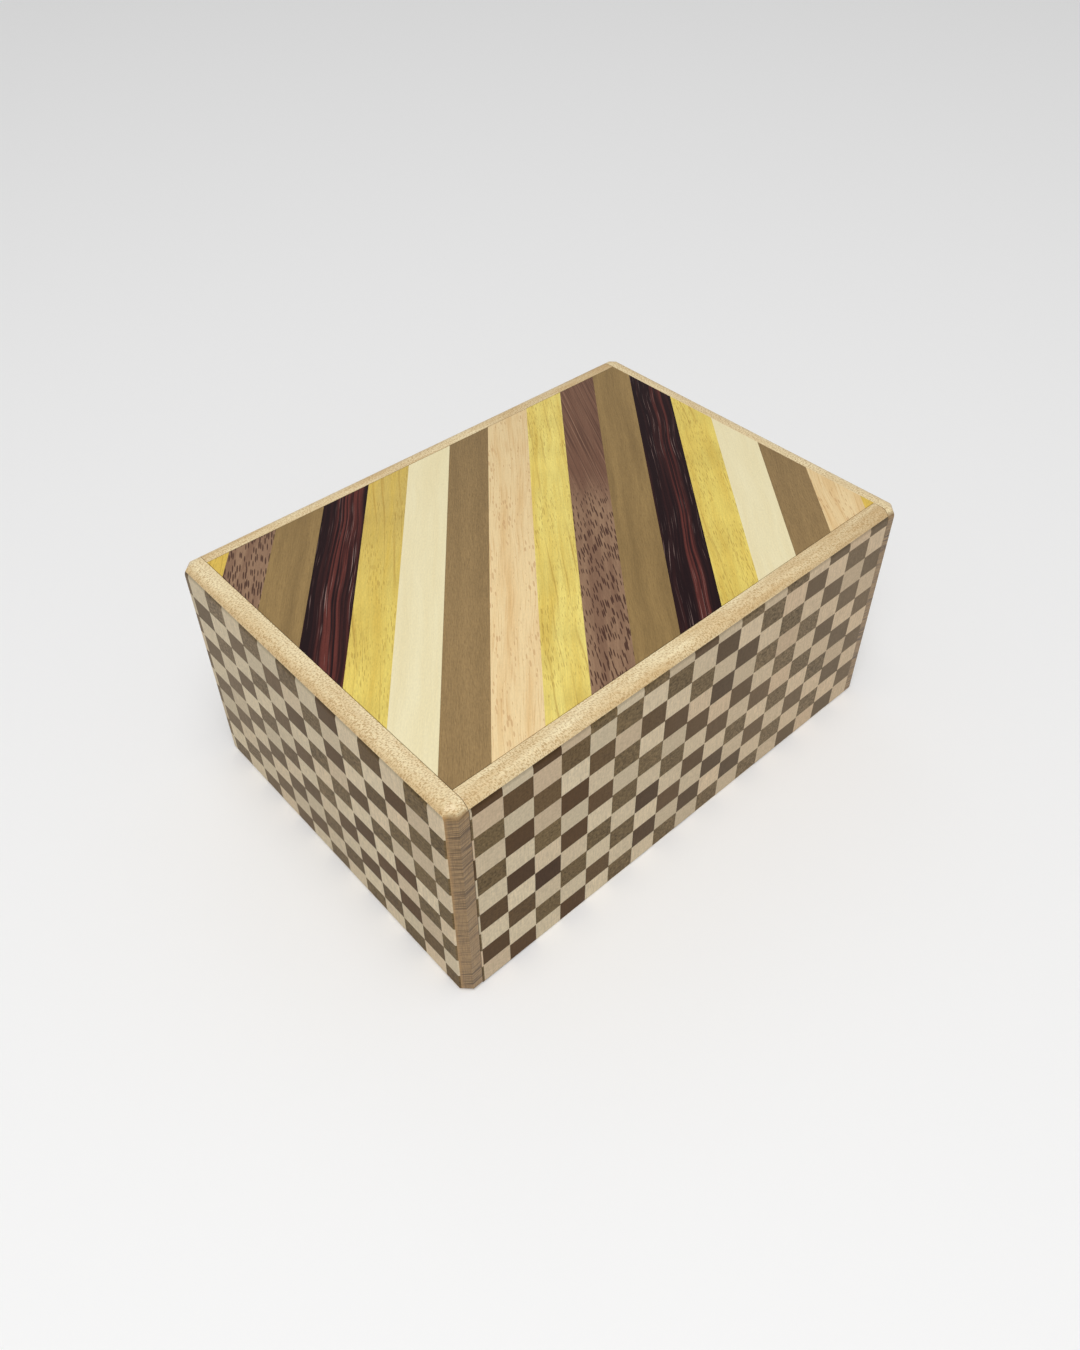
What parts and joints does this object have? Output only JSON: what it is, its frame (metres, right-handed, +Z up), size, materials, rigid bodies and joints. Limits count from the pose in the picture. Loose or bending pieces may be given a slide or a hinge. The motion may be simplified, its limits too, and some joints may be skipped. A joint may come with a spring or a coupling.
{
  "type": "trick box",
  "caption": "Rectangular wooden trick box with checked marquetry sides, a sliding lid of diagonal wood strips and a left end board that drops a little.",
  "frame": {"origin": "middle of the underside, on the plane that the box stands on", "axes": "+X along the box, the way the lid slides open; +Y across it, from the front to the back; +Z up"},
  "size_m": [0.1212, 0.0856, 0.054],
  "materials": {
    "maple_boards": "satin lacquer over fine speckled pale wood, darker end grain",
    "check_marquetry": "satin lacquer over light and dark checks",
    "inner_wood": "plain planed pale wood",
    "runner_wood": "planed hardwood",
    "yellow_strip": "satin lacquer over golden yellow wood",
    "walnut_strip": "satin lacquer over purple-brown wood with dark flecks",
    "olive_strip": "satin lacquer over olive-brown wood",
    "rosewood_strip": "satin lacquer over near-black wood with red-brown streaks",
    "cream_strip": "satin lacquer over cream wood",
    "brown_strip": "satin lacquer over mid-brown wood",
    "peach_strip": "satin lacquer over pinkish-tan wood with fine flecks"
  },
  "bodies": {
    "root": {"front_side_board": "maple_boards", "back_side_board": "maple_boards", "front_marquetry": "check_marquetry", "back_marquetry": "check_marquetry", "floor_board": "inner_wood", "front_inner_wall": "inner_wood", "back_inner_wall": "inner_wood", "left_inner_wall": "inner_wood", "right_inner_wall": "inner_wood", "right_end_board": "maple_boards", "right_marquetry": "check_marquetry"},
    "lid": {"lid_core_board": "inner_wood", "lid_end_batten": "inner_wood", "lid_end_cap": "maple_boards", "lid_cap_marquetry": "check_marquetry", "lid_strip_left_8_yellow": "yellow_strip", "lid_strip_left_7_walnut": "walnut_strip", "lid_strip_left_6_olive": "olive_strip", "lid_strip_left_5_rosewood": "rosewood_strip", "lid_strip_left_4_yellow": "yellow_strip", "lid_strip_left_3_cream": "cream_strip", "lid_strip_left_2_brown": "brown_strip", "lid_strip_left_1_peach": "peach_strip", "lid_strip_centre_yellow": "yellow_strip", "lid_strip_right_1_walnut": "walnut_strip", "lid_strip_right_2_olive": "olive_strip", "lid_strip_right_3_rosewood": "rosewood_strip", "lid_strip_right_4_yellow": "yellow_strip", "lid_strip_right_5_cream": "cream_strip", "lid_strip_right_6_brown": "brown_strip", "lid_strip_right_7_peach": "peach_strip", "lid_strip_right_8_yellow": "yellow_strip"},
    "left_end": {"left_end_board": "maple_boards", "left_marquetry": "check_marquetry", "left_front_runner": "runner_wood", "left_back_runner": "runner_wood"}
  },
  "joints": [
    {"name": "lid_slide", "type": "slide", "parent": "root", "child": "lid", "axis": [1, 0, 0], "range_m": [0, 0.1]},
    {"name": "left_end_drop", "type": "slide", "parent": "root", "child": "left_end", "axis": [0, 0, -1], "range_m": [0, 0.005]}
  ]
}
